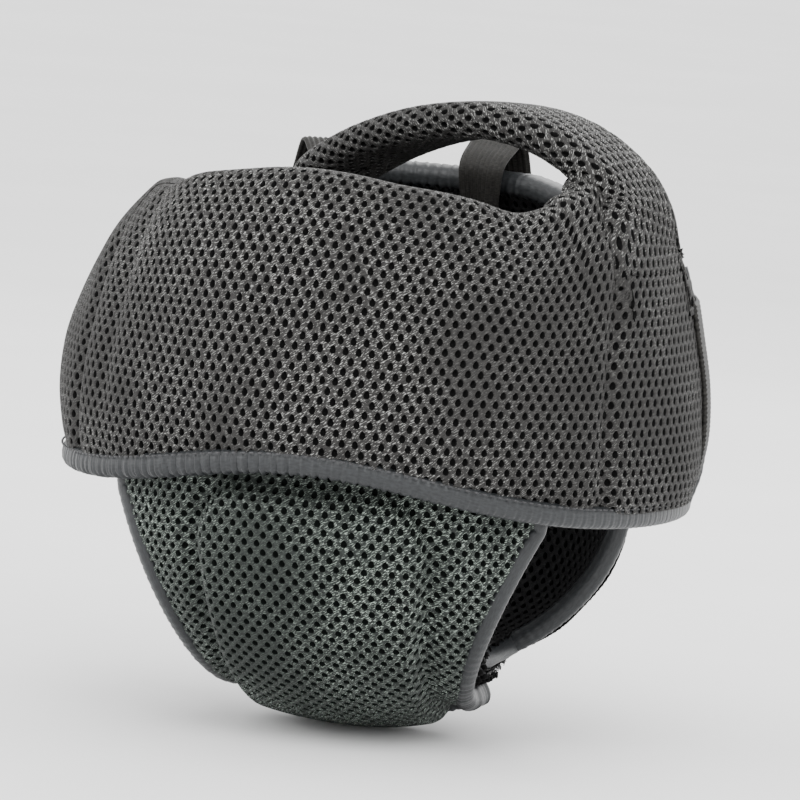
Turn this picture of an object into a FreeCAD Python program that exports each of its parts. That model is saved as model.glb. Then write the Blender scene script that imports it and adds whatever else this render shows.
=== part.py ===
import FreeCAD, Part
import math
import os
from FreeCAD import Vector

# Padded boxing headgear lying crown down. +Z runs from the crown towards the neck opening, the
# forehead faces -Y, and +X is the wearer's right. Lengths are in millimetres. Heights are measured
# from the outside of the crown while modelling, and every solid is lowered by ORIGIN_HEIGHT at the
# end, so that the origin is the point where the top of the head rests.

# Plan shape: every ring is drawn round and then stretched front to back.
LONG = 1.104

# Layers of the padding, from the outside in.
COVER = 3.0
LINING = 2.0
BAND_PAD = 15.0
CLEAR = 0.3

# Half of the band's outer section, at the wearer's ear: radius and height, from the hem to the rim.
BAND_PROFILE = [(99, 86), (104, 92), (106, 105), (105, 120), (102, 135), (97, 155), (91, 169), (82, 181.5)]
BAND_HEM = 86.0
SIDE_SEAM = 57.0
SHELL_END = 98.0
END_BINDING_ARC = 2.5
TAIL_ARC = 1.5
HEM_TAPE = 1.4
HEM_LIP_DROP = 4.5
HEM_OVERHANG = 1.8
HEM_LIP = 4.0

# The back pad is inset from the band and ends below the rolled rim.
BACK_INSET = 3.0
BACK_PAD = 12.0
BACK_START = 108.0
BACK_CROWN_HEIGHT = 182.0
BACK_CROWN_RADIUS = 180.0
RIM_BINDING = 6.0

# Crown: nested bowls whose rims lie at CROWN_RIM. Each is (radius, depth) of its outer face.
CROWN_RIM = 84.0
PANEL_BOWL = (95.0, 84.0)
PANEL_PAD = 10.0
HOOK = 1.2
LOOP = 1.5
FLAP_PAD = 8.0
FLAP_BOWL = (82.0, PANEL_BOWL[1] - PANEL_PAD - HOOK - CLEAR - LOOP)
FLAP_ROOT_BOWL = (92.0, FLAP_BOWL[1])
ORIGIN_HEIGHT = PANEL_BOWL[1] - FLAP_BOWL[1] + FLAP_PAD

# Half widths of the crown pieces at the crown's rim and at its pole.
PANEL_HALF = (76.5, 40.0)
CENTRE_HALF = (45.0, 34.0)
FLAP_HALF = (82.0, 44.0)
EDGE_BINDING = 6.0
BINDING_STEP = 0.5
PANEL_END = 8.0
FLAP_END = -35.0
FOLD_LINE = 40.0
FOLD_HEIGHT = 54.0
CROWN_HOOK_HALF_WIDTH = 25.0
CROWN_HOOK_START = -20.0
CROWN_LOOP_HALF_WIDTH = 44.0
CROWN_LOOP_HALF_LENGTH = 28.0

# Sizes of cutting solids that reach well past the part.
FAR = 160.0
FLOOR = -10.0

# Webbing.
WEB = 1.6
SIDE_ELASTIC = (90.0, 149.0)
ELASTIC_START = 84.0
TAB_START = 135.5
TAB_END = 160.0
TAB_INSET = 4.0
TAB_HOOK_INSET = 7.0
TAB_HOOK = 0.9
LOOP_PANEL_START = 128.0
LOOP_PANEL = 1.0

# Chin strap: a padded tube from the right ear over the opening to the left of the rear rim.
# Each station is a centre (x, y, height), a width and a thickness.
STRAP_CUT = 162.5
STRAP_STATIONS = [
    ((84, -19, 165), 54, 15),
    ((81, -18, 180), 50, 15),
    ((70, -15, 192.5), 45, 14),
    ((52, -9, 200.5), 41, 13),
    ((31, 0, 202), 38, 12.5),
    ((9, 12, 198), 35, 12),
    ((-11, 26, 190), 32, 11),
    ((-28, 41, 180), 30, 10),
    ((-37, 54, 173.5), 28, 9),
]
STRAP_COVER = 2.5
SECTION_SQUARENESS = 2.6
SECTION_POINTS = 14

CHIN_ELASTIC_AT = 212.0
CHIN_ELASTIC_WIDTH = 20.0
NAPE_ELASTIC_AT = 169.5
NAPE_ELASTIC_WIDTH = 15.0
CHIN_HOOK = (18.0, 14.0, 1.2)
CHIN_HOOK_SETBACK = 16.0
CHIN_HOOK_GAP = 0.8

# Outer faces of the two elastics folded over the rear rim: distance from the axis, and height.
CHIN_ELASTIC_ROUTE = [
    (104.2, 152), (99.3, 165), (93, 175), (86, 182.5), (79, 182),
    (72.5, 177), (69, 170), (62, 166.5), (50, 165.5),
]
NAPE_ELASTIC_ROUTE = [
    (106.3, 152), (101.5, 165), (95, 177), (87, 187), (78.5, 187),
    (72, 181.5), (73.5, 173), (79, 160), (84, 148),
]


def place(shape):
    """Stretches a round shape to the head's oval."""
    matrix = FreeCAD.Matrix()
    matrix.scale(1, LONG, 1)
    return shape.transformGeometry(matrix)


def save(name, *shapes):
    """Writes the solids of one piece, lowered so that the origin is where the head rests."""
    solids = [solid for shape in shapes for solid in shape.Solids]
    piece = solids[0] if len(solids) == 1 else Part.Compound(solids)
    piece.translate(Vector(0, 0, -ORIGIN_HEIGHT))
    piece.exportStep(os.path.join("parts", name + ".step"))
    print(name, len(solids), all(s.isValid() for s in solids), round(piece.Volume))


def spline(points):
    curve = Part.BSplineCurve()
    curve.interpolate(points)
    return curve


def inset(profile, depth):
    """The section points moved inwards by depth, and the directions along the section there."""
    curve = spline([Vector(r, 0, z) for r, z in profile])
    moved, along = [], []
    for r, z in profile:
        point, tangent = curve.getD1(curve.parameter(Vector(r, 0, z)))
        tangent.normalize()
        moved.append(point + Vector(-tangent.z, 0, tangent.x) * depth)
        along.append(tangent)
    return moved, along


def strip_face(profile, near, far):
    """A layer of the section, flat at both ends."""
    outer = inset(profile, near)[0]
    inner = inset(profile, far)[0][::-1]
    edges = [
        spline(outer).toShape(),
        Part.makeLine(outer[-1], inner[0]),
        spline(inner).toShape(),
        Part.makeLine(inner[-1], outer[0]),
    ]
    return Part.Face(Part.Wire(edges))


def apex(profile, reach):
    """The top of a roll of that radius about the middle of the padding."""
    middle, along = inset(profile, BAND_PAD / 2)
    return middle[-1] + along[-1] * reach


def rolled_cover_face(profile):
    """The outer mesh, which rolls over the rim as far as the lining."""
    outer = inset(profile, 0)[0]
    hidden = inset(profile, COVER)[0][::-1]
    end = inset(profile, BAND_PAD)[0][-1]
    end_inner = inset(profile, BAND_PAD - LINING)[0][-1]
    edges = [
        spline(outer).toShape(),
        Part.Arc(outer[-1], apex(profile, BAND_PAD / 2), end).toShape(),
        Part.makeLine(end, end_inner),
        Part.Arc(end_inner, apex(profile, BAND_PAD / 2 - COVER), hidden[0]).toShape(),
        spline(hidden).toShape(),
        Part.makeLine(hidden[-1], outer[0]),
    ]
    return Part.Face(Part.Wire(edges))


def rolled_foam_face(profile):
    """The foam under the rolled cover."""
    outer = inset(profile, COVER)[0]
    inner = inset(profile, BAND_PAD - LINING)[0][::-1]
    edges = [
        spline(outer).toShape(),
        Part.Arc(outer[-1], apex(profile, BAND_PAD / 2 - COVER), inner[0]).toShape(),
        spline(inner).toShape(),
        Part.makeLine(inner[-1], outer[0]),
    ]
    return Part.Face(Part.Wire(edges))


def ring(face, start, stop):
    """Turns a section about the head's axis, from one bearing to another, 0 being the forehead."""
    turned = face.copy()
    turned.rotate(Vector(0, 0, 0), Vector(0, 0, 1), start - 90)
    return turned.revolve(Vector(0, 0, 0), Vector(0, 0, 1), stop - start)


def box(low, high):
    return Part.makeBox(high[0] - low[0], high[1] - low[1], high[2] - low[2], Vector(*low))


def polygon_prism(points, y_from, y_to):
    """A prism along Y with that outline in X and Z."""
    corners = [Vector(x, y_from, z) for x, z in points]
    wire = Part.makePolygon(corners + corners[:1])
    return Part.Face(wire).extrude(Vector(0, y_to - y_from, 0))


def rectangle_face(r_from, r_to, z_from, z_to):
    outline = [(r_from, z_from), (r_to, z_from), (r_to, z_to), (r_from, z_to)]
    corners = [Vector(r, 0, z) for r, z in outline]
    return Part.Face(Part.makePolygon(corners + corners[:1]))


def root_zone(gap):
    """The part of the right side that the chin strap takes up, widened by gap."""
    sector = rectangle_face(0, FAR, STRAP_CUT - gap, FAR * 2)
    return ring(sector, SIDE_SEAM, SHELL_END + END_BINDING_ARC + gap)


def front_shell():
    """The band: three covers and foams between the side seams, a lining, and its bindings."""
    cover = rolled_cover_face(BAND_PROFILE)
    foam = rolled_foam_face(BAND_PROFILE)
    lining = strip_face(BAND_PROFILE, BAND_PAD - LINING, BAND_PAD)
    root = root_zone(CLEAR)
    save("front_band_cover", place(ring(cover, -SIDE_SEAM, SIDE_SEAM)))
    save("forehead_foam", place(ring(foam, -SIDE_SEAM, SIDE_SEAM)))
    save("left_side_cover", place(ring(cover, -SHELL_END, -SIDE_SEAM)))
    save("left_side_foam", place(ring(foam, -SHELL_END, -SIDE_SEAM)))
    save("right_side_cover", place(ring(cover, SIDE_SEAM, SHELL_END).cut(root)))
    save("right_side_foam", place(ring(foam, SIDE_SEAM, SHELL_END).cut(root)))
    save("front_lining", place(ring(lining, -SHELL_END, SHELL_END).cut(root)))
    end = strip_face(BAND_PROFILE, 0, BAND_PAD)
    save("left_end_binding", place(ring(end, -SHELL_END - END_BINDING_ARC, -SHELL_END)))
    save("right_end_binding", place(ring(end, SHELL_END, SHELL_END + END_BINDING_ARC).cut(root)))
    tail = SHELL_END + END_BINDING_ARC + TAIL_ARC
    save("front_lower_binding", place(ring(hem_face(BAND_PROFILE[0][0], BAND_PAD), -tail, tail)))


def hem_face(radius, pad):
    """The binding's section: a strip under the padding and a lip that hangs over the crown."""
    outside = radius + HEM_OVERHANG
    lip = outside - HEM_LIP
    inside = outside - pad
    under = BAND_HEM - HEM_TAPE
    drop = BAND_HEM - HEM_LIP_DROP
    outline = [(inside, under), (lip, under), (lip, drop), (outside, drop)]
    outline += [(outside, BAND_HEM), (inside, BAND_HEM)]
    corners = [Vector(r, 0, z) for r, z in outline]
    return Part.Face(Part.makePolygon(corners + corners[:1]))


def back_profile():
    """The back pad's outer section, a constant inset from the band's."""
    return [(point.x, point.z) for point in inset(BAND_PROFILE, BACK_INSET)[0]]


def back_top(drop):
    """The space under the back rim's arch, lowered by drop."""
    centre = Vector(0, 0, BACK_CROWN_HEIGHT - BACK_CROWN_RADIUS)
    return Part.makeCylinder(BACK_CROWN_RADIUS - drop, FAR, centre, Vector(0, 1, 0))


def back_layer(near, far, start, stop, drop):
    face = strip_face(back_profile(), near, far)
    return ring(face, start, stop).common(back_top(drop))


def back_pad():
    """Cover, foam and lining of the back pad, its piped rim, its ends and its hem."""
    stop = 360 - BACK_START
    first = BACK_START + END_BINDING_ARC
    last = stop - END_BINDING_ARC
    layers = {
        "back_pad_cover": (0, COVER),
        "back_pad_foam": (COVER, BACK_PAD - LINING),
        "back_pad_lining": (BACK_PAD - LINING, BACK_PAD),
    }
    for name, (near, far) in layers.items():
        save(name, place(back_layer(near, far, first, last, RIM_BINDING)))
    rim = back_layer(BINDING_STEP, BACK_PAD - BINDING_STEP, first, last, 0).cut(back_top(RIM_BINDING))
    save("back_rim_binding", place(rim))
    ends = [back_layer(0, BACK_PAD, *arc, RIM_BINDING) for arc in ((BACK_START, first), (last, stop))]
    save("back_end_bindings", *[place(end) for end in ends])
    hem = hem_face(BAND_PROFILE[0][0] - BACK_INSET, BACK_PAD)
    save("back_lower_binding", place(ring(hem, BACK_START, stop)))


def bowl(size, pad_from, pad_to):
    """A layer of a crown bowl, between two depths under its outer face."""
    edges = []
    for depth in (pad_from, pad_to):
        radius = size[0] - depth
        drop = size[1] - depth
        centre = Vector(0, 0, CROWN_RIM)
        ellipse = Part.Ellipse(centre + Vector(radius, 0, 0), centre - Vector(0, 0, drop), centre)
        edges.append(Part.ArcOfEllipse(ellipse, 0, math.pi / 2).toShape())
    ends = [edge.valueAt(edge.LastParameter) for edge in edges]
    starts = [edge.valueAt(edge.FirstParameter) for edge in edges]
    edges += [Part.makeLine(*ends), Part.makeLine(*starts)]
    face = Part.Face(Part.Wire(Part.__sortEdges__(edges)))
    return face.revolve(Vector(0, 0, 0), Vector(0, 0, 1), 360)


def half_width(half, height):
    top, pole = half
    return pole + (top - pole) * height / CROWN_RIM


def wedge(half, margin, y_from, y_to):
    """A prism along Y that narrows from the crown's rim to its pole, margin inside its half widths."""
    low = half_width(half, FLOOR) - margin
    high = half_width(half, CROWN_RIM) - margin
    outline = [(-low, FLOOR), (low, FLOOR), (high, CROWN_RIM), (-high, CROWN_RIM)]
    return polygon_prism(outline, y_from, y_to)


def edge_strip(half, side, y_from, y_to):
    """A slanting strip along one edge of a crown wedge, as wide as the binding."""
    low = half_width(half, FLOOR)
    high = half_width(half, CROWN_RIM)
    outline = [(low - EDGE_BINDING, FLOOR), (low, FLOOR), (high, CROWN_RIM), (high - EDGE_BINDING, CROWN_RIM)]
    return polygon_prism([(side * x, z) for x, z in outline], y_from, y_to)


def tongue_bowl(near, far):
    """A layer of the flap's bowl below its fold."""
    return bowl(FLAP_BOWL, near, far).common(box((-FAR, -FAR, FLOOR), (FAR, FAR, FOLD_HEIGHT)))


def crown_panel():
    """The front crown panel: cover, raised middle pad, side pads, lining, bindings and hook patch."""
    covered = PANEL_END - EDGE_BINDING
    body = wedge(PANEL_HALF, EDGE_BINDING, -FAR, covered)
    centre = wedge(CENTRE_HALF, 0, -FAR, covered)
    foam = bowl(PANEL_BOWL, COVER, PANEL_PAD - LINING).common(body)
    save("crown_panel_cover", place(bowl(PANEL_BOWL, 0, COVER).common(body)))
    save("crown_centre_pad", place(foam.common(centre)))
    save("crown_side_pads", place(foam.cut(centre)))
    save("crown_panel_lining", place(bowl(PANEL_BOWL, PANEL_PAD - LINING, PANEL_PAD).common(body)))
    edge = bowl(PANEL_BOWL, BINDING_STEP, PANEL_PAD - BINDING_STEP)
    save("crown_panel_right_binding", place(edge.common(edge_strip(PANEL_HALF, 1, -FAR, PANEL_END))))
    save("crown_panel_left_binding", place(edge.common(edge_strip(PANEL_HALF, -1, -FAR, PANEL_END))))
    end = wedge(PANEL_HALF, EDGE_BINDING, covered, PANEL_END)
    save("crown_panel_end_binding", place(edge.common(end)))
    hook = bowl(PANEL_BOWL, PANEL_PAD, PANEL_PAD + HOOK)
    low = (-CROWN_HOOK_HALF_WIDTH, CROWN_HOOK_START, FLOOR)
    high = (CROWN_HOOK_HALF_WIDTH, covered, CROWN_RIM)
    save("crown_hook_patch", place(hook.common(box(low, high))))


def crown_flap():
    """The rear flap: a root that stays on the back pad and a tongue that folds, with a loop patch."""
    layers = {"cover": (0, COVER), "foam": (COVER, FLAP_PAD - LINING), "lining": (FLAP_PAD - LINING, FLAP_PAD)}
    covered = FLAP_END + EDGE_BINDING
    for layer, (near, far) in layers.items():
        root = bowl(FLAP_ROOT_BOWL, near, far).common(wedge(FLAP_HALF, EDGE_BINDING, FOLD_LINE + CLEAR, FAR))
        tongue = tongue_bowl(near, far).common(wedge(FLAP_HALF, EDGE_BINDING, covered, FOLD_LINE))
        save("flap_root_" + layer, place(root))
        save("flap_tongue_" + layer, place(tongue))
    root_edge = bowl(FLAP_ROOT_BOWL, BINDING_STEP, FLAP_PAD - BINDING_STEP)
    tongue_edge = tongue_bowl(BINDING_STEP, FLAP_PAD - BINDING_STEP)
    root_strips = [root_edge.common(edge_strip(FLAP_HALF, side, FOLD_LINE + CLEAR, FAR)) for side in (-1, 1)]
    save("flap_root_bindings", *[place(strip) for strip in root_strips])
    tongue_strips = [tongue_edge.common(edge_strip(FLAP_HALF, side, FLAP_END, FOLD_LINE)) for side in (-1, 1)]
    tongue_strips.append(tongue_edge.common(wedge(FLAP_HALF, EDGE_BINDING, FLAP_END, covered)))
    save("flap_tongue_bindings", *[place(strip) for strip in tongue_strips])
    loop = bowl((FLAP_BOWL[0] + LOOP, FLAP_BOWL[1] + LOOP), 0, LOOP)
    low = (-CROWN_LOOP_HALF_WIDTH, -CROWN_LOOP_HALF_LENGTH, FLOOR)
    high = (CROWN_LOOP_HALF_WIDTH, CROWN_LOOP_HALF_LENGTH, CROWN_RIM)
    save("crown_loop_patch", place(loop.common(box(low, high))))


def strap_frames():
    """The direction along the chin strap and across it, at each station."""
    centres = [Vector(*station[0]) for station in STRAP_STATIONS]
    last = len(centres) - 1
    frames = []
    for i, centre in enumerate(centres):
        along = centres[min(i + 1, last)] - centres[max(i - 1, 0)]
        plan = centres[min(i + 2, last)] - centres[max(i - 1, 0)]
        across = Vector(plan.y, -plan.x, 0).normalize()
        frames.append((centre, along.normalize(), across))
    return frames


def rounded_section(centre, across, up, width, thickness):
    """A closed soft-cornered section."""
    points = []
    for i in range(SECTION_POINTS):
        angle = 2 * math.pi * i / SECTION_POINTS
        cosine, sine = math.cos(angle), math.sin(angle)
        x = math.copysign(abs(cosine) ** (2 / SECTION_SQUARENESS), cosine) * width / 2
        y = math.copysign(abs(sine) ** (2 / SECTION_SQUARENESS), sine) * thickness / 2
        points.append(centre + across * x + up * y)
    curve = Part.BSplineCurve()
    curve.interpolate(points, PeriodicFlag=True)
    return Part.Wire(curve.toShape())


def strap_loft(shrink, stations):
    """The strap's padded tube, made thinner all round by shrink."""
    wires = []
    for (centre, along, across), (_, width, thickness) in stations:
        up = along.cross(across)
        wires.append(rounded_section(centre, across, up, width - 2 * shrink, thickness - 2 * shrink))
    return Part.makeLoft(wires, True)


def chin_strap():
    """The chin strap's cover over its foam, and the hook patch under its free end."""
    stations = list(zip(strap_frames(), STRAP_STATIONS))
    foam = strap_loft(STRAP_COVER, stations[:-1])
    save("chin_strap_cover", strap_loft(0, stations).cut(foam))
    save("chin_strap_foam", foam)
    centre, along, across = strap_frames()[-1]
    down = along.cross(across)
    half_strap = STRAP_STATIONS[-2][2] / 2
    corner = centre - along * CHIN_HOOK_SETBACK - across * (CHIN_HOOK[0] / 2)
    corner += down * (half_strap + CHIN_HOOK[2] + CHIN_HOOK_GAP)
    patch = Part.makeBox(*CHIN_HOOK)
    patch.Placement = FreeCAD.Placement(corner, FreeCAD.Rotation(across, along, -down, "XYZ"))
    save("chin_hook_patch", patch)


def folded_webbing(bearing, width, route):
    """A webbing band in a plane through the head's axis: its route is (distance, height) points."""
    angle = math.radians(bearing - 90)
    outward = Vector(math.cos(angle), math.sin(angle) * LONG, 0).normalize()
    sideways = Vector(-outward.y, outward.x, 0)
    points = [outward * distance + Vector(0, 0, height) for distance, height in route]
    path = spline(points)
    normals = []
    for point in points:
        tangent = path.tangent(path.parameter(point))[0]
        normals.append(tangent.cross(sideways))
    inner = [point + normal * WEB for point, normal in zip(points, normals)][::-1]
    edges = [
        spline(points).toShape(),
        Part.makeLine(points[-1], inner[0]),
        spline(inner).toShape(),
        Part.makeLine(inner[-1], points[0]),
    ]
    face = Part.Face(Part.Wire(edges))
    face.translate(sideways * (-width / 2))
    return face.extrude(sideways * width)


def rear_elastics():
    """The chin elastic and the nape elastic, both folded over the back rim."""
    save("chin_elastic", folded_webbing(CHIN_ELASTIC_AT, CHIN_ELASTIC_WIDTH, CHIN_ELASTIC_ROUTE))
    save("nape_elastic", folded_webbing(NAPE_ELASTIC_AT, NAPE_ELASTIC_WIDTH, NAPE_ELASTIC_ROUTE))


def side_band(near, far, heights, start, stop):
    """A band of webbing that follows the side of the headgear."""
    layer = ring(strip_face(BAND_PROFILE, near, far), start, stop)
    slab = box((-FAR, -FAR, heights[0]), (FAR, FAR, heights[1]))
    return place(layer.common(slab))


def mirrored(shape):
    return shape.mirror(Vector(0, 0, 0), Vector(1, 0, 0))


def side_elastics():
    """The wide elastic at each side, its peeling tab with a hook patch, and their loop panel."""
    low, high = SIDE_ELASTIC
    inner = (low + TAB_INSET, high - TAB_INSET)
    patch = (low + TAB_HOOK_INSET, high - TAB_HOOK_INSET)
    elastic = side_band(-WEB, 0, SIDE_ELASTIC, ELASTIC_START, TAB_START - 1)
    tab = side_band(-WEB / 2, WEB / 2, inner, TAB_START, TAB_END)
    hook = side_band(WEB / 2, WEB / 2 + TAB_HOOK, patch, TAB_START + 4, TAB_END - 2)
    for side, turn in (("right", lambda shape: shape), ("left", mirrored)):
        save(side + "_side_elastic", turn(elastic))
        save(side + "_tab", turn(tab))
        save(side + "_tab_hook", turn(hook))
    stop = 360 - LOOP_PANEL_START
    save("back_loop_panel", side_band(BACK_INSET - LOOP_PANEL, BACK_INSET, inner, LOOP_PANEL_START, stop))


os.makedirs("parts", exist_ok=True)
front_shell()
back_pad()
crown_panel()
crown_flap()
chin_strap()
rear_elastics()
side_elastics()
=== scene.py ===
import math
import bpy
import numpy as np
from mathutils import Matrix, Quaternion, Vector


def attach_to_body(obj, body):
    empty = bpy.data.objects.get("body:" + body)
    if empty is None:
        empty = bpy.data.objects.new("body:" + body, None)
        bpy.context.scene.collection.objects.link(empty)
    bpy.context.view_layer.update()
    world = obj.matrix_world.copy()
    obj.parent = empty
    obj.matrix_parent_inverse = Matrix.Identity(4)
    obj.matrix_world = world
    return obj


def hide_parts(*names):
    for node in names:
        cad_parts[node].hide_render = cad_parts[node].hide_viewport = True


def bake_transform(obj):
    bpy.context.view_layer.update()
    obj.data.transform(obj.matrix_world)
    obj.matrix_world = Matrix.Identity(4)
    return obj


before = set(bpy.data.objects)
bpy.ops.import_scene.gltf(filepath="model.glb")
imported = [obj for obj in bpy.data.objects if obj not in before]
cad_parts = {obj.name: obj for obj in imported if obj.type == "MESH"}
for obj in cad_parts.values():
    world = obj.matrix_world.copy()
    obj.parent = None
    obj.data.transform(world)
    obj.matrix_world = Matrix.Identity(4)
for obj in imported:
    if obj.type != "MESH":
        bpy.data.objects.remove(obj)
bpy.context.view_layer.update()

# Padded boxing headgear lying crown down. Surfaces are worked out in millimetres, with heights
# measured from the outside of the crown, and are turned into metres in the CAD frame when a mesh
# is made. A bearing is measured round the head from the forehead (-Y) towards +X.
MM = 0.001
ORIGIN_HEIGHT = 21.0
LONG = 1.104
ROUND = 1.05

# Spacer mesh: hexagonal cells with a tapered hole. Each ring is (share of the way from the cell's
# edge to the hole's edge, height over the fabric).
MESH_PITCH = (4.4, 3.2)
HOLE = (1.0, 1.35)
HOLE_TAPER = 0.22
CELL_RINGS = [(0.0, 0.0), (0.5, 0.22), (1.0, -0.2), (1.15, -1.5)]
HOLE_FLOOR = -1.7
LINING_SCALE = 0.8

# The band's outer section at the side: distance from the axis and height.
BAND_OUTER = [(100.5, 79), (102.5, 86), (104.5, 93), (106, 105), (105, 120), (102, 135), (97, 155), (91, 169), (82, 181.5)]
BAND_PAD = 15.0
SEAM_COLUMN = 110.0
SHELL_END = 98.0
STRAP_ROOT_HEIGHT = 160.0
FILLET_BEARING = 67.0
# Bearing, and how far the rim stands above or below its mean height there.
RIM_SHAPE = [(-98, -12), (-70, -11), (-52, -8), (-40, -3), (-20, 1.5), (0, 3), (15, 0.5), (30, -2.5), (42, -6),
             (52, -4), (60, 0), (98, 0)]
# Bearing, and how far the rim climbs on to the chin strap's near edge there.
FILLET_SHAPE = [(54, 0), (61, 0.8), (65, 3.5), (69, 9)]
FILLET_LEAN = 0.8
FLARE = 2.0
HEM_LOW = 80.5
HEM_ARCH = 14.0
HEM_ARCH_WIDTH = 35.0
HEM_TAPE = 7.6

# Back pad.
BACK_INSET = 3.0
BACK_PAD = 12.0
BACK_START = 108.0
BACK_CROWN_HEIGHT = 182.0
BACK_CROWN_RADIUS = 180.0

# Crown: (radius, depth) of the bowls' outer faces, whose rims lie at CROWN_RIM.
CROWN_RIM = 84.0
PANEL_BOWL = (95.0, 84.0)
PANEL_PAD = 10.0
FLAP_BOWL = (86.0, 72.0)
FLAP_PAD = 8.0
PANEL_HALF = (76.5, 40.0)
PANEL_END = 8.0
FLAP_TIP = -32.0
FLAP_FRONT = 12.0
PANEL_TOP_ANGLE = 1.62
GROOVE_TOP = 44.0
GROOVE_POLE = 33.0
PAD_TOP = 89.0
PAD_CORNER_START = 62.0
PAD_CORNER = 22.0
PANEL_SINK = 3.6
TAPE_INSET = 3.6
FLAP_HALF = 84.0
FLAP_NECK = 38.0
TAPE_HALF = 3.3
EDGE_INSET = 2.6

# Start and end points for pieces that cross a joint between two bodies, in the CAD frame in metres.
PANEL_FOLD = ((0, 0, 0.070), (0, 0, 0.045))
FLAP_FOLD = ((0, 0, 0.048), (0, 0, 0.012))
STRAP_LIFT = ((0.086, 0, 0.1395), (0.072, 0, 0.160))
SIDE_STRETCH = ((0, 0.008, 0), (0, 0.075, 0))

# Chin strap: centre, bearing of its width in plan, width and thickness.
STRAP = [
    ((92.5, -18.5, 138), 80, 68, 15),
    ((90, -18, 150), 79, 67, 15),
    ((84, -18, 165), 80, 62, 15),
    ((79.5, -14, 180), 82, 48, 13.5),
    ((69, -12, 192), 80, 42, 12),
    ((52, -8, 200.5), 72, 38, 11),
    ((31, 0, 203), 63, 36, 10.5),
    ((9, 12, 199), 57, 34, 10.5),
    ((-11, 26, 191), 50, 32, 10),
    ((-28, 41, 181), 45, 30, 9.5),
    ((-37, 54, 174), 43, 28, 9),
]


def smooth(share):
    """Eases from 0 to 1."""
    share = np.clip(share, 0, 1)
    return share * share * (3 - 2 * share)


class Line:
    """A smooth line through a few points, looked up by its length."""

    def __init__(self, points, steps=24):
        points = np.array(points, float)
        ends = np.vstack([2 * points[0] - points[1], points, 2 * points[-1] - points[-2]])
        t = np.linspace(0, 1, steps, endpoint=False)[:, None]
        spans = []
        for a, b, c, d in zip(ends, ends[1:], ends[2:], ends[3:]):
            spans.append(b + 0.5 * t * (c - a + t * (2 * a - 5 * b + 4 * c - d + t * (3 * (b - c) + d - a))))
        self.dense = np.vstack(spans + [points[-1:]])
        pieces = np.linalg.norm(np.diff(self.dense, axis=0), axis=1)
        self.lengths = np.concatenate([[0.0], np.cumsum(pieces)])
        self.length = self.lengths[-1]

    def at(self, length):
        return np.stack([np.interp(length, self.lengths, column) for column in self.dense.T], axis=-1)

    def length_of_point(self, point):
        return self.lengths[np.argmin(np.linalg.norm(self.dense - np.array(point, float), axis=1))]

    def length_at_height(self, height, stop=None):
        """The length at which a line that climbs to stop reaches that height."""
        rising = self.lengths <= (self.length if stop is None else stop)
        return np.interp(height, self.dense[rising, 1], self.lengths[rising])


def inward(line, lengths, depth):
    """Points of a section moved towards the head."""
    step = 0.2
    tangent = line.at(lengths + step) - line.at(lengths - step)
    tangent /= np.linalg.norm(tangent, axis=-1, keepdims=True)
    return line.at(lengths) + depth * np.stack([-tangent[..., 1], tangent[..., 0]], axis=-1)


def rolled_section(outer, pad, inside):
    """The outer section, a half round over the rim, and the inner side down to that height."""
    line = Line(outer)
    top = np.array([line.length - 0.3])
    middle = inward(line, top, pad / 2)[0]
    start = line.at(line.length)
    spoke = start - middle
    roll = []
    for angle in np.radians([36, 72, 108, 144]):
        turned = (spoke[0] * math.cos(angle) - spoke[1] * math.sin(angle),
                  spoke[0] * math.sin(angle) + spoke[1] * math.cos(angle))
        roll.append(middle + np.array(turned))
    down = np.arange(line.length, line.length_at_height(inside), -12.0)
    inner = inward(line, down - 0.3, pad)
    return Line(list(map(tuple, outer)) + [tuple(p) for p in roll] + [tuple(p) for p in inner])


OUTER = Line(BAND_OUTER)
BAND = rolled_section(BAND_OUTER, BAND_PAD, 140)
RIM_LENGTH = BAND.length_of_point(BAND_OUTER[-1])
RIM = Line(RIM_SHAPE)
FILLET = Line(FILLET_SHAPE)


def ring_point(bearing, radius, height):
    return np.stack([radius * np.sin(bearing), -radius * np.cos(bearing) * LONG, height - ORIGIN_HEIGHT], axis=-1)


def rim_rise(bearing):
    return np.interp(np.degrees(bearing), RIM.dense[:, 0], RIM.dense[:, 1])


def band_point(bearing, length, climb=0.0):
    """The band's skin at that bearing and distance from the hem, over the rim and inside."""
    section = BAND.at(length)
    radius, height = section[..., 0], section[..., 1]
    flare = FLARE * smooth((np.degrees(bearing) - 40) / 40) * smooth((115 - height) / 28)
    raised = height + rim_rise(bearing) * smooth((height - 105) / 76)
    share = climb * smooth((height - 152) / 29)
    return ring_point(bearing, radius + flare - FILLET_LEAN * share, raised + share)


def fillet_climb(bearing):
    return np.interp(np.degrees(bearing), FILLET.dense[:, 0], FILLET.dense[:, 1])


def column_radius(length):
    """How far one radian round the head is, at that distance from the hem."""
    return ROUND * BAND.at(np.minimum(length, RIM_LENGTH))[..., 0]


def hem_height(bearing):
    return HEM_LOW + HEM_ARCH * np.exp(-(np.degrees(bearing) / HEM_ARCH_WIDTH) ** 2)


def hem_length(bearing):
    return BAND.length_at_height(hem_height(bearing) + 3, RIM_LENGTH)


def ripple(u, v, seed):
    """Soft unevenness of a padded surface."""
    slow = np.sin(u / 19 + seed) * np.sin(v / 24 + 1.7 * seed)
    return 0.8 * slow + 0.35 * np.sin(u / 9.0 + v / 14 + 2.3 * seed)


def normals_of(surface, u, v):
    """Unit normals of a surface by differences."""
    step = 0.4
    along = surface(u + step, v) - surface(u - step, v)
    across = surface(u, v + step) - surface(u, v - step)
    normal = np.cross(along, across)
    return normal / np.maximum(np.linalg.norm(normal, axis=-1, keepdims=True), 1e-9)


def padded_surface(surface, lift):
    """A surface raised along its own normal."""
    def raised(u, v):
        return surface(u, v) + normals_of(surface, u, v) * lift(u, v)[..., None]
    return raised


# ---------------------------------------------------------------- materials


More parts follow.
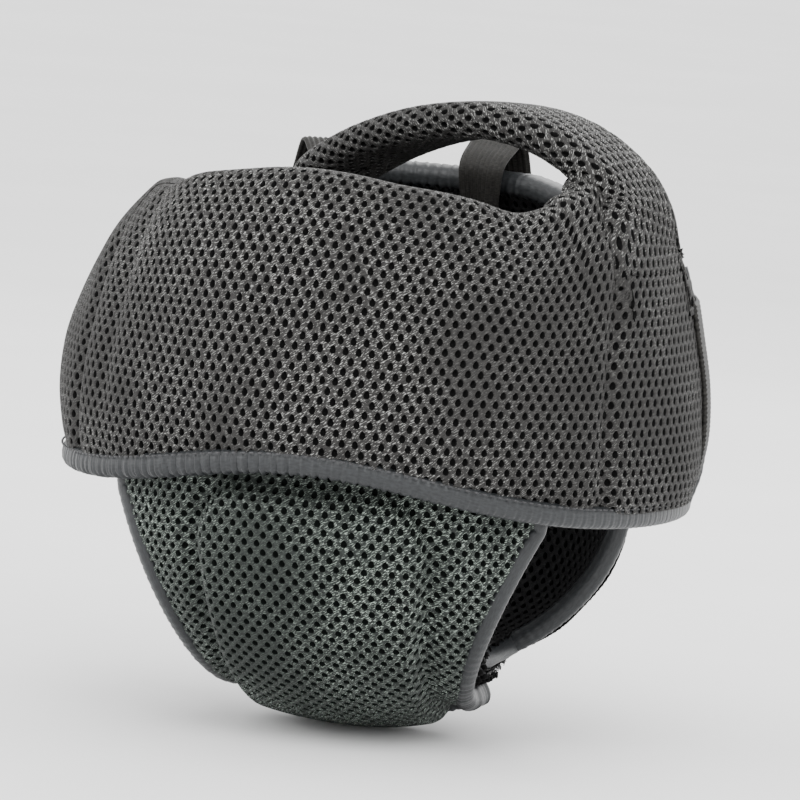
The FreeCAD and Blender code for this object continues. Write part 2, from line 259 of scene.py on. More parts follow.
def new_material(name):
    material = bpy.data.materials.new(name)
    material.use_nodes = True
    nodes = material.node_tree.nodes
    return material, nodes, material.node_tree.links, nodes["Principled BSDF"]


def noise_node(nodes, scale, detail=3.0, rough=0.6):
    node = nodes.new("ShaderNodeTexNoise")
    node.inputs["Scale"].default_value = scale
    node.inputs["Detail"].default_value = detail
    node.inputs["Roughness"].default_value = rough
    return node


def ramp_node(nodes, low, high, dark, bright):
    node = nodes.new("ShaderNodeValToRGB")
    node.color_ramp.elements[0].position = low
    node.color_ramp.elements[1].position = high
    node.color_ramp.elements[0].color = (*dark, 1)
    node.color_ramp.elements[1].color = (*bright, 1)
    return node


def mix_node(nodes, links, factor, first, second, blend="MIX"):
    node = nodes.new("ShaderNodeMix")
    node.data_type = "RGBA"
    node.blend_type = blend
    for socket, value in ((node.inputs[0], factor), (node.inputs[6], first), (node.inputs[7], second)):
        if isinstance(value, bpy.types.NodeSocket):
            links.new(value, socket)
        elif isinstance(value, tuple):
            socket.default_value = (*value, 1)
        else:
            socket.default_value = value
    return node.outputs[2]


def coordinates(nodes, links, kind, scale, turn=0.0):
    source = nodes.new("ShaderNodeTexCoord")
    mapping = nodes.new("ShaderNodeMapping")
    mapping.vector_type = "TEXTURE"
    mapping.inputs["Scale"].default_value = [1 / factor for factor in scale]
    mapping.inputs["Rotation"].default_value = (0, 0, turn)
    links.new(source.outputs[kind], mapping.inputs["Vector"])
    return mapping.outputs["Vector"]


def bump(nodes, links, height, shader, strength, distance):
    node = nodes.new("ShaderNodeBump")
    node.inputs["Strength"].default_value = strength
    node.inputs["Distance"].default_value = distance
    links.new(height, node.inputs["Height"])
    links.new(node.outputs["Normal"], shader.inputs["Normal"])


def yarn_material(name, dark, light, glint, glint_share):
    """Knitted yarn: short slanting strands in two tones, with a painted highlight (the glint colour) on some strands.
    """
    material, nodes, links, shader = new_material(name)
    strands = noise_node(nodes, 1.0, 2.0)
    links.new(coordinates(nodes, links, "UV", (0.55, 2.6, 1), math.radians(34)), strands.inputs["Vector"])
    tone = ramp_node(nodes, 0.38, 0.62, dark, light)
    links.new(strands.outputs["Fac"], tone.inputs["Fac"])
    # Painted highlight: the glint colour is painted into the base colour on thin slanting streaks, stronger in random
    # patches.
    shine = noise_node(nodes, 1.0, 1.0)
    links.new(coordinates(nodes, links, "UV", (0.7, 3.4, 1), math.radians(34)), shine.inputs["Vector"])
    glint_streaks = ramp_node(nodes, 1 - glint_share, 1 - glint_share + 0.06, (0, 0, 0), (1, 1, 1))
    links.new(shine.outputs["Fac"], glint_streaks.inputs["Fac"])
    glint_patches = noise_node(nodes, 14.0, 2.0)
    links.new(coordinates(nodes, links, "Object", (1, 1, 1)), glint_patches.inputs["Vector"])
    where = ramp_node(nodes, 0.40, 0.62, (0.15, 0.15, 0.15), (1, 1, 1))
    links.new(glint_patches.outputs["Fac"], where.inputs["Fac"])
    masked = mix_node(nodes, links, 1.0, glint_streaks.outputs["Color"], where.outputs["Color"], "MULTIPLY")
    color = mix_node(nodes, links, masked, tone.outputs["Color"], glint)
    links.new(color, shader.inputs["Base Color"])
    shader.inputs["Roughness"].default_value = 0.62
    shader.inputs["Specular IOR Level"].default_value = 0.25
    bump(nodes, links, strands.outputs["Fac"], shader, 0.7, 0.0004)
    return material


def shade_material(name, tone):
    """The dark inside of a hole in the mesh: partly the fabric's dark inner face, partly painted shade on the hole's
    walls and floor.
    """
    material, nodes, links, shader = new_material(name)
    speckle = noise_node(nodes, 900.0)
    links.new(coordinates(nodes, links, "Object", (1, 1, 1)), speckle.inputs["Vector"])
    ramp = ramp_node(nodes, 0.3, 0.7, tuple(0.5 * c for c in tone), tone)
    links.new(speckle.outputs["Fac"], ramp.inputs["Fac"])
    links.new(ramp.outputs["Color"], shader.inputs["Base Color"])
    shader.inputs["Roughness"].default_value = 0.95
    shader.inputs["Specular IOR Level"].default_value = 0.1
    return material


def tape_material(name, dark, light, roughness):
    """Coated binding tape with a fine weave."""
    material, nodes, links, shader = new_material(name)
    weave = noise_node(nodes, 1.0, 4.0)
    links.new(coordinates(nodes, links, "UV", (0.5, 2.2, 1)), weave.inputs["Vector"])
    ramp = ramp_node(nodes, 0.35, 0.68, dark, light)
    links.new(weave.outputs["Fac"], ramp.inputs["Fac"])
    links.new(ramp.outputs["Color"], shader.inputs["Base Color"])
    shader.inputs["Roughness"].default_value = roughness
    shader.inputs["Specular IOR Level"].default_value = 0.35
    bump(nodes, links, weave.outputs["Fac"], shader, 0.35, 0.0003)
    return material


def elastic_material(name, dark, light):
    """Ribbed elastic webbing: crosswise picks over lengthwise ribs."""
    material, nodes, links, shader = new_material(name)
    picks = noise_node(nodes, 1.0, 2.0)
    links.new(coordinates(nodes, links, "UV", (2.4, 0.6, 1)), picks.inputs["Vector"])
    ramp = ramp_node(nodes, 0.35, 0.65, dark, light)
    links.new(picks.outputs["Fac"], ramp.inputs["Fac"])
    links.new(ramp.outputs["Color"], shader.inputs["Base Color"])
    shader.inputs["Roughness"].default_value = 0.6
    shader.inputs["Specular IOR Level"].default_value = 0.2
    bump(nodes, links, picks.outputs["Fac"], shader, 0.5, 0.0003)
    return material


def fuzz_material(name, dark, light):
    """Loop tape and its stray loops."""
    material, nodes, links, shader = new_material(name)
    tufts = noise_node(nodes, 700.0, 4.0)
    links.new(coordinates(nodes, links, "Object", (1, 1, 1)), tufts.inputs["Vector"])
    ramp = ramp_node(nodes, 0.35, 0.65, dark, light)
    links.new(tufts.outputs["Fac"], ramp.inputs["Fac"])
    links.new(ramp.outputs["Color"], shader.inputs["Base Color"])
    shader.inputs["Roughness"].default_value = 0.5
    shader.inputs["Specular IOR Level"].default_value = 0.3
    bump(nodes, links, tufts.outputs["Fac"], shader, 0.8, 0.0006)
    return material


# Each yarn look's third colour is a painted highlight (glint) on some strands; each hole look's dark colour is partly
# painted shade.
MESH_LOOK = [
    yarn_material("air_mesh_yarn", (0.007, 0.0066, 0.0063), (0.025, 0.0238, 0.0225), (0.30, 0.30, 0.29), 0.41),
    shade_material("air_mesh_hole", (0.006, 0.006, 0.006)),
]
CROWN_LOOK = [
    yarn_material("crown_mesh_yarn", (0.006, 0.008, 0.007), (0.021, 0.027, 0.023), (0.30, 0.35, 0.31), 0.43),
    shade_material("crown_mesh_hole", (0.006, 0.008, 0.007)),
]
LINING_LOOK = [
    yarn_material("lining_yarn", (0.002, 0.002, 0.0023), (0.007, 0.007, 0.0076), (0.02, 0.02, 0.02), 0.35),
    shade_material("lining_hole", (0.001, 0.001, 0.001)),
]
TAPE_LOOK = [tape_material("binding_tape", (0.009, 0.010, 0.011), (0.022, 0.024, 0.026), 0.42)]
ELASTIC_LOOK = [elastic_material("ribbed_elastic", (0.006, 0.0057, 0.0052), (0.024, 0.0228, 0.0205))]
FUZZ_LOOK = [fuzz_material("loop_tape", (0.006, 0.006, 0.006), (0.040, 0.040, 0.040))]
HOOK_LOOK = [fuzz_material("hook_tape", (0.010, 0.010, 0.010), (0.050, 0.050, 0.050))]
THREAD_LOOK = [tape_material("sewing_thread", (0.014, 0.014, 0.015), (0.050, 0.050, 0.053), 0.5)]


# ---------------------------------------------------------------- meshes


def make_object(name, points, faces, look, uv=None, dark_faces=None):
    """A smooth-shaded mesh object from points in millimetres."""
    mesh = bpy.data.meshes.new(name)
    mesh.from_pydata((np.asarray(points) * MM).tolist(), [], faces)
    for material in look:
        mesh.materials.append(material)
    mesh.shade_smooth()
    if dark_faces is not None:
        mesh.polygons.foreach_set("material_index", np.asarray(dark_faces, np.int32))
    if uv is not None:
        corners = np.zeros(len(mesh.loops), np.int32)
        mesh.loops.foreach_get("vertex_index", corners)
        layer = mesh.uv_layers.new(name="weave")
        layer.data.foreach_set("uv", np.asarray(uv, np.float32)[corners].ravel())
    mesh.update()
    piece = bpy.data.objects.new(name, mesh)
    bpy.context.scene.collection.objects.link(piece)
    return piece


def cell_outlines():
    """Twelve points round a cell and round its hole."""
    half_u, half_v = MESH_PITCH[0] / 2, MESH_PITCH[1]
    side = half_v / 3.6
    tip = half_v - side
    corners = np.array([(half_u, -side), (half_u, side), (0, tip), (-half_u, side), (-half_u, -side), (0, -tip)])
    cell = np.empty((12, 2))
    cell[0::2] = corners
    cell[1::2] = (corners + np.roll(corners, -1, axis=0)) / 2
    angles = np.arctan2(cell[:, 1], cell[:, 0])
    hole = np.stack([HOLE[0] * np.cos(angles), HOLE[1] * np.sin(angles)], axis=1)
    hole[:, 0] *= 1 - HOLE_TAPER * np.sin(angles)
    return cell, hole


def cell_centres(u_range, v_range, scale):
    pitch_u, pitch_v = MESH_PITCH[0] * scale, MESH_PITCH[1] * scale
    rows = np.arange(math.floor(v_range[0] / pitch_v) - 1, math.ceil(v_range[1] / pitch_v) + 2)
    columns = np.arange(math.floor(u_range[0] / pitch_u) - 1, math.ceil(u_range[1] / pitch_u) + 2)
    row, column = np.meshgrid(rows, columns, indexing="ij")
    return np.stack([(column + 0.5 * (row % 2)) * pitch_u, row * pitch_v], axis=-1).reshape(-1, 2)


def mesh_fabric(name, surface, u_range, v_range, clip, look, scale=1.0, flip=False):
    """A sheet of spacer mesh over surface(u, v), cut off where clip moves a point."""
    cell, hole = cell_outlines()
    centres = cell_centres(u_range, v_range, scale)
    rings, heights = [], []
    for share, height in CELL_RINGS:
        rings.append(centres[:, None] + scale * ((1 - share) * cell + share * hole)[None])
        heights.append(height)
    wanted = np.stack(rings, axis=1)
    clipped = np.stack(clip(wanted[..., 0], wanted[..., 1]), axis=-1)
    moved = np.linalg.norm(clipped - wanted, axis=-1)
    keep = (moved[:, 0] < 0.02).any(axis=1)
    clipped, moved, centres = clipped[keep], moved[keep], centres[keep]
    count = len(centres)
    sign = -1.0 if flip else 1.0
    depth = np.array(heights)[None, :, None] * scale * np.where(moved < 0.02, 1.0, 0.0)
    floor_uv = clipped[:, -1].mean(axis=1)
    flat_u = np.concatenate([clipped[..., 0].ravel(), floor_uv[:, 0]])
    flat_v = np.concatenate([clipped[..., 1].ravel(), floor_uv[:, 1]])
    flat_depth = np.concatenate([depth.ravel(), depth[:, -1].mean(axis=1) * HOLE_FLOOR / CELL_RINGS[-1][1]])
    points = surface(flat_u, flat_v) + normals_of(surface, flat_u, flat_v) * (sign * flat_depth)[:, None]
    ring_count = len(CELL_RINGS)
    index = np.arange(count * ring_count * 12).reshape(count, ring_count, 12)
    keys = np.round(np.stack([flat_u, flat_v], axis=1)[index[:, 0].ravel()] * 50).astype(np.int64)
    first, shared = np.unique(keys, axis=0, return_index=True, return_inverse=True)[1:]
    index[:, 0] = index[:, 0].ravel()[first][shared.ravel()].reshape(count, 12)
    ahead = np.roll(index, -1, axis=2)
    quads = np.stack([index[:, :-1], ahead[:, :-1], ahead[:, 1:], index[:, 1:]], axis=-1).reshape(-1, 4)
    tips = count * ring_count * 12 + np.arange(count)
    fans = np.stack([index[:, -1], ahead[:, -1], np.repeat(tips[:, None], 12, axis=1)], axis=-1).reshape(-1, 3)
    # The holes' inner walls and floors take the dark hole material, whose darkness is partly painted shade.
    walls = np.tile(np.repeat([0, 0, 1], 12), count)
    dark = np.concatenate([walls, np.ones(len(fans))])
    if flip:
        quads, fans = quads[:, ::-1], fans[:, ::-1]
    faces = [tuple(f) for f in quads.tolist()] + [tuple(f) for f in fans.tolist()]
    kept = [i for i, f in enumerate(faces) if len(set(f)) == len(f)]
    uv = np.stack([flat_u, flat_v], axis=1)
    return make_object(name, points, [faces[i] for i in kept], look, uv, dark[kept])


def tube(name, path, out, half_width, half_depth, look, wrinkle=None, closed_ends=True, sides=16):
    """A soft flat roll along a path: half_width is along the surface, half_depth along out."""
    path, out = np.asarray(path, float), np.asarray(out, float)
    along = np.gradient(path, axis=0)
    along /= np.linalg.norm(along, axis=1, keepdims=True)
    side = np.cross(along, out)
    side /= np.linalg.norm(side, axis=1, keepdims=True)
    out = np.cross(side, along)
    length = np.concatenate([[0.0], np.cumsum(np.linalg.norm(np.diff(path, axis=0), axis=1))])
    angles = np.linspace(0, 2 * math.pi, sides, endpoint=False)
    width = np.broadcast_to(half_width, len(path))[:, None]
    depth = np.broadcast_to(half_depth, len(path))[:, None]
    swell = 0 if wrinkle is None else wrinkle(length[:, None], angles[None])
    across = np.sign(np.cos(angles)) * np.abs(np.cos(angles)) ** 0.75
    raised = np.sign(np.sin(angles)) * np.abs(np.sin(angles)) ** 0.75
    points = path[:, None] + side[:, None] * ((width + swell) * across)[..., None]
    points = points + out[:, None] * ((depth + swell) * raised)[..., None]
    count = len(path)
    index = np.arange(count * sides).reshape(count, sides)
    ahead = np.roll(index, -1, axis=1)
    quads = np.stack([index[:-1], ahead[:-1], ahead[1:], index[1:]], axis=-1).reshape(-1, 4)
    faces = [tuple(q) for q in quads.tolist()]
    if closed_ends:
        faces += [tuple(index[0, ::-1].tolist()), tuple(index[-1].tolist())]
    arc = np.broadcast_to(angles[None] * 3, (count, sides))
    uv = np.stack([np.broadcast_to(length[:, None], (count, sides)), arc], axis=-1).reshape(-1, 2)
    return make_object(name, points.reshape(-1, 3), faces, look, uv)


def webbing(name, surface, length, width, thickness, look, rib=0.18, rib_pitch=1.5, steps=90):
    """Flat ribbed webbing: surface(a, b) is its middle, a along and b across, in millimetres."""
    ribs = max(12, int(width / rib_pitch) * 6)
    a, b = np.meshgrid(np.linspace(0, length, steps), np.linspace(-0.5, 0.5, ribs), indexing="ij")
    b_mm = b * width
    normal = normals_of(surface, a, b_mm)
    edge = smooth((0.5 - np.abs(b)) * width / 1.2)
    half = (thickness / 2) * (0.45 + 0.55 * edge) + rib * np.cos(2 * math.pi * b_mm / rib_pitch) * edge
    top = surface(a, b_mm) + normal * half[..., None]
    bottom = surface(a, b_mm) - normal * half[..., None]
    count = steps * ribs
    index = np.arange(count).reshape(steps, ribs)
    upper = np.stack([index[:-1, :-1], index[1:, :-1], index[1:, 1:], index[:-1, 1:]], axis=-1).reshape(-1, 4)
    lower = upper[:, ::-1] + count
    border = np.concatenate([index[0], index[1:, -1], index[-1, -2::-1], index[-2:0:-1, 0]])
    following = np.roll(border, -1)
    rim = np.stack([border, following, following + count, border + count], axis=-1)
    faces = [tuple(f) for f in np.concatenate([upper, lower, rim]).tolist()]
    points = np.concatenate([top.reshape(-1, 3), bottom.reshape(-1, 3)])
    flat = np.stack([a, b_mm], axis=-1).reshape(-1, 2)
    piece = make_object(name, points, faces, look, np.concatenate([flat, flat]))
    return piece


def stitches(name, path, out, look, pitch=3.0, length=2.1, radius=0.28):
    """A row of thread stitches that lie on a path."""
    line = Line(path, 4)
    starts = np.arange(pitch / 2, line.length - pitch, pitch)
    ups = np.stack([np.interp(starts, np.linspace(0, line.length, len(out)), column) for column in np.asarray(out).T], 1)
    points, faces = [], []
    for start, up in zip(starts, ups):
        a, b = line.at(start), line.at(start + length)
        run = (b - a) / np.linalg.norm(b - a)
        side = np.cross(run, up)
        for share, size, lift in ((0, 0.35, -0.3), (0.25, 1, 0.15), (0.75, 1, 0.15), (1, 0.35, -0.3)):
            centre = a + (b - a) * share + up * lift
            for angle in np.radians([30, 90, 150, 210, 270, 330]):
                points.append(centre + radius * size * (side * math.cos(angle) + up * math.sin(angle)))
        base = len(points) - 24
        for ring in range(3):
            for k in range(6):
                low = base + ring * 6
                faces.append((low + k, low + (k + 1) % 6, low + 6 + (k + 1) % 6, low + 6 + k))
        faces.append(tuple(base + k for k in range(5, -1, -1)))
        faces.append(tuple(base + 18 + k for k in range(6)))
    uv = np.asarray(points)[:, :2]
    return make_object(name, points, faces, look, uv)


# ---------------------------------------------------------------- band


def seam_groove(distance, height):
    """The valley where two pads are sewn together, fading out near the rim."""
    depth = 2.6 * (1 - smooth((height - 160) / 14))
    return -depth * np.exp(-(distance / 4.0) ** 2)


def front_surface():
    def flat(u, v):
        bearing = u / column_radius(v)
        return band_point(bearing, v, fillet_climb(bearing))

    def lift(u, v):
        height = BAND.at(v)[..., 1]
        hem = np.exp(-((v - hem_length(u / column_radius(v))) / 6.0) ** 2)
        grooves = seam_groove(SEAM_COLUMN - np.abs(u), height)
        crease = -1.6 * np.exp(-((u + 88) / 5.0) ** 2) * smooth((height - 95) / 20)
        return ripple(u, v, 0.7) + grooves + crease + 0.5 * hem * np.sin(u / 2.9) * np.sin(u / 13)
    return padded_surface(flat, lift)


def front_band():
    """The band across the forehead, from side seam to side seam, rolled over the rim."""
    def clip(u, v):
        radius = column_radius(v)
        limit = np.minimum(SEAM_COLUMN, math.radians(FILLET_BEARING) * radius)
        limit = np.where(v > STRAP_ROOT, limit, SEAM_COLUMN)
        u = np.clip(u, -SEAM_COLUMN, limit)
        return u, np.clip(v, hem_length(u / radius), BAND.length)
    return mesh_fabric("front_band_mesh", front_surface(), (-120, 120), (0, BAND.length), clip, MESH_LOOK)


def side_surface(sign):
    def flat(u, v):
        bearing = (SEAM_COLUMN + u * sign) / column_radius(v) * sign
        return band_point(bearing, v)

    def lift(u, v):
        height = BAND.at(v)[..., 1]
        end = math.radians(SHELL_END) * column_radius(v) - SEAM_COLUMN - u * sign
        tuck = -3.0 * np.exp(-(end / 4.5) ** 2)
        return ripple(u, v, 2.1 + sign) + seam_groove(u, height) + tuck
    return padded_surface(flat, lift)


def side_band(side, sign, top):
    """The band beside the ear, from the side seam to its rear end."""
    def clip(u, v):
        v = np.clip(v, 0, top)
        radius = column_radius(v)
        reach = math.radians(SHELL_END) * radius - SEAM_COLUMN
        u = sign * np.clip(u * sign, 0, reach)
        bearing = (SEAM_COLUMN + u * sign) / radius
        return u, np.maximum(v, hem_length(bearing))
    return mesh_fabric(side + "_side_mesh", side_surface(sign), (-80, 80), (0, BAND.length), clip, MESH_LOOK)


STRAP_ROOT = BAND.length_at_height(STRAP_ROOT_HEIGHT, RIM_LENGTH)


def band_lining():
    """The fine mesh inside the band."""
    inner = Line(inward(OUTER, np.linspace(4, OUTER.length - 8, 9), BAND_PAD - 1))

    def surface(u, v):
        section = inner.at(v)
        return ring_point(u / 88, section[..., 0], section[..., 1] + rim_rise(u / 88) * smooth((section[..., 1] - 105) / 76))

    def clip(u, v):
        reach = math.radians(SHELL_END) * 88
        return np.clip(u, -reach, reach), np.clip(v, 0, inner.length)
    reach = math.radians(SHELL_END) * 88
    return mesh_fabric("front_lining_mesh", surface, (-reach, reach), (0, inner.length), clip, LINING_LOOK, 1.15, True)


def hem_path(bearings, outward):
    """The line of the band's hem and the directions away from the head there."""
    height = hem_height(bearings)
    radius = BAND.at(BAND.length_at_height(height + 2, RIM_LENGTH))[..., 0] + outward
    out = ring_point(bearings, np.ones_like(bearings), np.full_like(bearings, ORIGIN_HEIGHT))
    return ring_point(bearings, radius, height + 1.5), out


def hem_wrinkle(length, angle):
    """Puckers of the hem tape, strongest left of the middle."""
    place = (length - 150) / 70
    strength = 0.15 + 0.75 * np.exp(-place ** 2)
    return strength * (0.5 * np.sin(length * 1.9) + 0.4 * np.sin(length * 3.3 + 1)) * (np.cos(angle) * 0.3 + 0.7)


def lower_binding():
    """The tape along the band's hem, with its stitches."""
    bearings = np.radians(np.linspace(-SHELL_END - 4, SHELL_END + 4, 900))
    path, out = hem_path(bearings, -1.5)
    tape = tube("front_lower_binding_tape", path, out, HEM_TAPE / 2, 3.6, TAPE_LOOK, hem_wrinkle)
    line, _ = hem_path(bearings[20:-20:6], 2.3)
    line[:, 2] += HEM_TAPE / 2 - 0.9
    thread = stitches("front_lower_binding_stitches", line, out[20:-20:6], THREAD_LOOK)
    return tape, thread


def end_binding(side, sign, top):
    """The tape over the band's rear end."""
    lengths = np.linspace(3, top, 60)
    bearing = np.full_like(lengths, sign * math.radians(SHELL_END + 0.8))
    skin = band_point(bearing, lengths)
    normal = normals_of(lambda u, v: band_point(u / 100, v), bearing * 100, lengths)
    path = skin - normal * 6.0
    return tube(side + "_end_binding_tape", path, normal, 2.6, 6.3, TAPE_LOOK, hem_wrinkle)


# ---------------------------------------------------------------- back pad


BACK_OUTER = inward(OUTER, np.linspace(6, OUTER.length - 0.5, 10), BACK_INSET)
BACK = Line(BACK_OUTER)
BACK_INNER = Line(inward(OUTER, np.linspace(6, OUTER.length - 0.5, 10), BACK_INSET + BACK_PAD - 1))
BACK_RADIUS = 105.0


def back_top_height(bearing, radius):
    """The height of the arched rear rim."""
    x = radius * np.sin(bearing)
    return BACK_CROWN_HEIGHT - BACK_CROWN_RADIUS + np.sqrt(BACK_CROWN_RADIUS ** 2 - x ** 2) - 4


def back_surface(line, seed):
    def flat(u, v):
        section = line.at(v)
        return ring_point(math.pi + u / BACK_RADIUS, section[..., 0], section[..., 1])
    return padded_surface(flat, lambda u, v: ripple(u, v, seed))


def back_clip(line):
    reach = math.radians(180 - BACK_START - 1.5) * BACK_RADIUS

    def clip(u, v):
        u = np.clip(u, -reach, reach)
        bearing = math.pi + u / BACK_RADIUS
        top = back_top_height(bearing, line.at(v)[..., 0])
        return u, np.clip(v, 1.0, line.length_at_height(top))
    return clip


def back_pad():
    """Outer mesh and lining of the back pad."""
    outer = mesh_fabric("back_pad_mesh", back_surface(BACK, 3.3), (-140, 140), (0, BACK.length), back_clip(BACK), MESH_LOOK)
    inner = mesh_fabric("back_lining_mesh", back_surface(BACK_INNER, 1.1), (-140, 140), (0, BACK_INNER.length),
                        back_clip(BACK_INNER), LINING_LOOK, 1.15, True)
    return outer, inner


def back_bindings():
    """The tape over the rear rim, over the back pad's ends and along its hem."""
    middle = Line(inward(OUTER, np.linspace(6, OUTER.length - 0.5, 10), BACK_INSET + BACK_PAD / 2))
    bearings = np.radians(np.linspace(BACK_START, 360 - BACK_START, 240))
    top = middle.length_at_height(back_top_height(bearings, 90.0) + 1)
    section = middle.at(top)
    rim = ring_point(bearings, section[:, 0], section[:, 1])
    out = ring_point(bearings, np.ones_like(bearings), np.full_like(bearings, ORIGIN_HEIGHT))
    pieces = [tube("back_rim_binding_tape", rim, out, 4.2, 6.2, TAPE_LOOK, hem_wrinkle)]
    low = middle.at(np.zeros_like(bearings))
    hem = ring_point(bearings, low[:, 0], low[:, 1] - 1)
    pieces.append(tube("back_lower_binding_tape", hem, out, 3.0, 6.0, TAPE_LOOK, hem_wrinkle))
    for side, bearing in (("right", BACK_START + 0.6), ("left", 360 - BACK_START - 0.6)):
        lengths = np.linspace(0, middle.length_at_height(back_top_height(math.radians(bearing), 90.0) + 1), 50)
        section = middle.at(lengths)
        turn = np.full_like(lengths, math.radians(bearing))
        path = ring_point(turn, section[:, 0], section[:, 1])
        away = ring_point(turn, np.ones_like(turn), np.full_like(turn, ORIGIN_HEIGHT))
        pieces.append(tube("back_end_binding_tape_" + side, path, away, 2.4, 6.2, TAPE_LOOK, hem_wrinkle))
    return pieces


# ---------------------------------------------------------------- crown


def panel_half(height):
    """Half the crown panel's width at a height."""
    return PANEL_HALF[1] + (PANEL_HALF[0] - PANEL_HALF[1]) * height / CROWN_RIM


def flap_half(height):
    """Half the rear flap's width, which reaches nearly to the sides of its bowl."""
    return np.full_like(height, FLAP_HALF)


def panel_end(x):
    """How far back the crown panel reaches, across its width."""
    return np.full_like(x, PANEL_END)


def flap_end(x):
    """The rear flap's front edge: a tongue in the middle, and a straight edge at the sides."""
    return FLAP_TIP + (FLAP_FRONT - FLAP_TIP) * smooth((np.abs(x) - FLAP_NECK) / 12)


def bowl_point(across, down, bowl, pad, facing):
    """A bowl's skin, pad inside its outer face: across and down are angles from its pole, and
    facing is -1 towards the forehead."""
    radius, drop = bowl[0] - pad, bowl[1] - pad
    return np.stack([
        radius * np.sin(across),
        facing * radius * np.cos(across) * np.sin(down) * LONG,
        CROWN_RIM - drop * np.cos(across) * np.cos(down) - ORIGIN_HEIGHT,
    ], axis=-1)


def edge_angle(down, bowl, pad, inset, half):
    """The angle across at which a bowl is as wide as half says, for the height there."""
    radius, drop = bowl[0] - pad, bowl[1] - pad
    across = np.full_like(down, 0.6)
    for _ in range(12):
        height = CROWN_RIM - drop * np.cos(across) * np.cos(down)
        across = np.arcsin(np.clip((half(height) - inset) / radius, 0, 0.97))
    return across


def crown_angles(u, v, radius):
    """Fabric columns u and rows v, counted down from the rim, as the bowl's angles."""
    across = u / radius
    down = math.pi / 2 + 0.12 + v / (0.97 * radius * np.cos(np.clip(across, -1.1, 1.1)))
    return across, down


def panel_relief(x, height):
    """The raised middle pad between its two grooves, with rounded upper corners, and the side pads."""
    groove = GROOVE_POLE + (GROOVE_TOP - GROOVE_POLE) * height / CROWN_RIM
    beyond = np.clip(height - PAD_CORNER_START, 0, PAD_CORNER)
    distance = np.abs(x) - (groove - 0.5 * beyond ** 2 / PAD_CORNER)
    middle = 4.6 * smooth(-distance / 7) * smooth((PAD_TOP - height) / 9)
    valley = -1.2 * np.exp(-(distance / 2.4) ** 2) * smooth((PAD_TOP - height) / 9)
    sides = 1.8 * smooth((distance - 1) / 6)
    return middle + valley + sides - PANEL_SINK


def crown_surface(bowl, pad, radius, facing, relief):
    """A crown bowl's skin over fabric columns and rows that are laid out on that radius."""
    def flat(u, v):
        across, down = crown_angles(u, v, radius)
        return bowl_point(across, down, bowl, pad, facing)

    def lift(u, v):
        point = flat(u, v)
        return ripple(u, v, 4.2) * 0.7 + relief(point[..., 0], point[..., 2] + ORIGIN_HEIGHT)
    return padded_surface(flat, lift)


def crown_clip(bowl, pad, radius, facing, end, inset, half):
    """Cuts a crown bowl at its edges and its end."""

    def clip(u, v):
        v = np.minimum(v, 0)
        down = crown_angles(u, v, radius)[1]
        limit = edge_angle(np.minimum(down, 1.45), bowl, pad, inset, half)
        across = np.clip(u / radius, -limit, limit)
        u = across * radius
        last = end(radius * np.sin(across)) + inset * facing
        stop = np.arcsin(np.clip(facing * last / (radius * np.cos(across)), -1, 1))
        lowest = (stop - math.pi / 2 - 0.12) * 0.97 * radius * np.cos(across)
        return u, np.maximum(v, lowest)
    return clip


def no_relief(x, height):
    return np.zeros_like(x)


def crown_layer(name, bowl, pad, facing, end, half, relief, look):
    """One skin of a crown piece: the outer mesh, or its lining when pad isn't 0."""
    radius = bowl[0] - pad
    surface = crown_surface(bowl, pad, radius, facing, relief)
    clip = crown_clip(bowl, pad, radius, facing, end, TAPE_INSET, half)
    scale = 1.0 if pad == 0 else 1.15
    return mesh_fabric(name, surface, (-95, 95), (-240, 0), clip, look, scale, (facing < 0) == (pad > 0))


def crown_panel():
    """Outer mesh and lining of the front crown panel."""
    outer = crown_layer("crown_panel_mesh", PANEL_BOWL, 0, -1, panel_end, panel_half, panel_relief, CROWN_LOOK)
    inner = crown_layer("crown_panel_lining_mesh", PANEL_BOWL, PANEL_PAD - 0.6, -1, panel_end, panel_half,
                        no_relief, LINING_LOOK)
    return outer, inner


def bowl_tape(name, across, down, bowl, pad, facing):
    """A tape wrapped round a bowl's edge, as deep as its padding."""
    step = 0.01
    skin = bowl_point(across, down, bowl, 0, facing)
    along = bowl_point(across, down + step, bowl, 0, facing) - skin
    sideways = bowl_point(across + step, down, bowl, 0, facing) - skin
    out = facing * np.cross(along, sideways)
    out /= np.linalg.norm(out, axis=1, keepdims=True)
    return tube(name, skin - out * (pad / 2 + 0.6), out, TAPE_HALF, pad / 2, TAPE_LOOK, hem_wrinkle)


def end_tape(name, bowl, pad, facing, end, limit):
    """The tape along a bowl's free edge, from side to side."""
    across = np.linspace(-limit, limit, 260)
    reach = facing * end(bowl[0] * np.sin(across)) / (bowl[0] * np.cos(across))
    return bowl_tape(name, across, np.arcsin(reach), bowl, pad, facing)


def panel_bindings():
    """The tapes down both edges and across the free end of the crown panel."""
    pieces = []
    stop = math.asin(-PANEL_END / (PANEL_BOWL[0] * 0.85))
    down = np.linspace(PANEL_TOP_ANGLE, stop, 140)
    edge = edge_angle(np.minimum(down, 1.45), PANEL_BOWL, 0, EDGE_INSET, panel_half)
    for side, sign in (("right", 1), ("left", -1)):
        name = "crown_panel_" + side + "_tape"
        pieces.append(bowl_tape(name, sign * edge, down, PANEL_BOWL, PANEL_PAD - 2, -1))
    pieces.append(end_tape("crown_panel_end_tape", PANEL_BOWL, PANEL_PAD - 2, -1, panel_end, edge[-1]))
    return pieces


def crown_flap():
    """Outer mesh, lining and front tape of the rear flap."""
    outer = crown_layer("crown_flap_mesh", FLAP_BOWL, 0, 1, flap_end, flap_half, no_relief, MESH_LOOK)
    inner = crown_layer("crown_flap_lining_mesh", FLAP_BOWL, FLAP_PAD - 0.6, 1, flap_end, flap_half, no_relief,
                        LINING_LOOK)
    limit = math.asin(FLAP_HALF / FLAP_BOWL[0])
    return outer, inner, end_tape("crown_flap_edge_tape", FLAP_BOWL, FLAP_PAD - 1, 1, flap_end, limit)


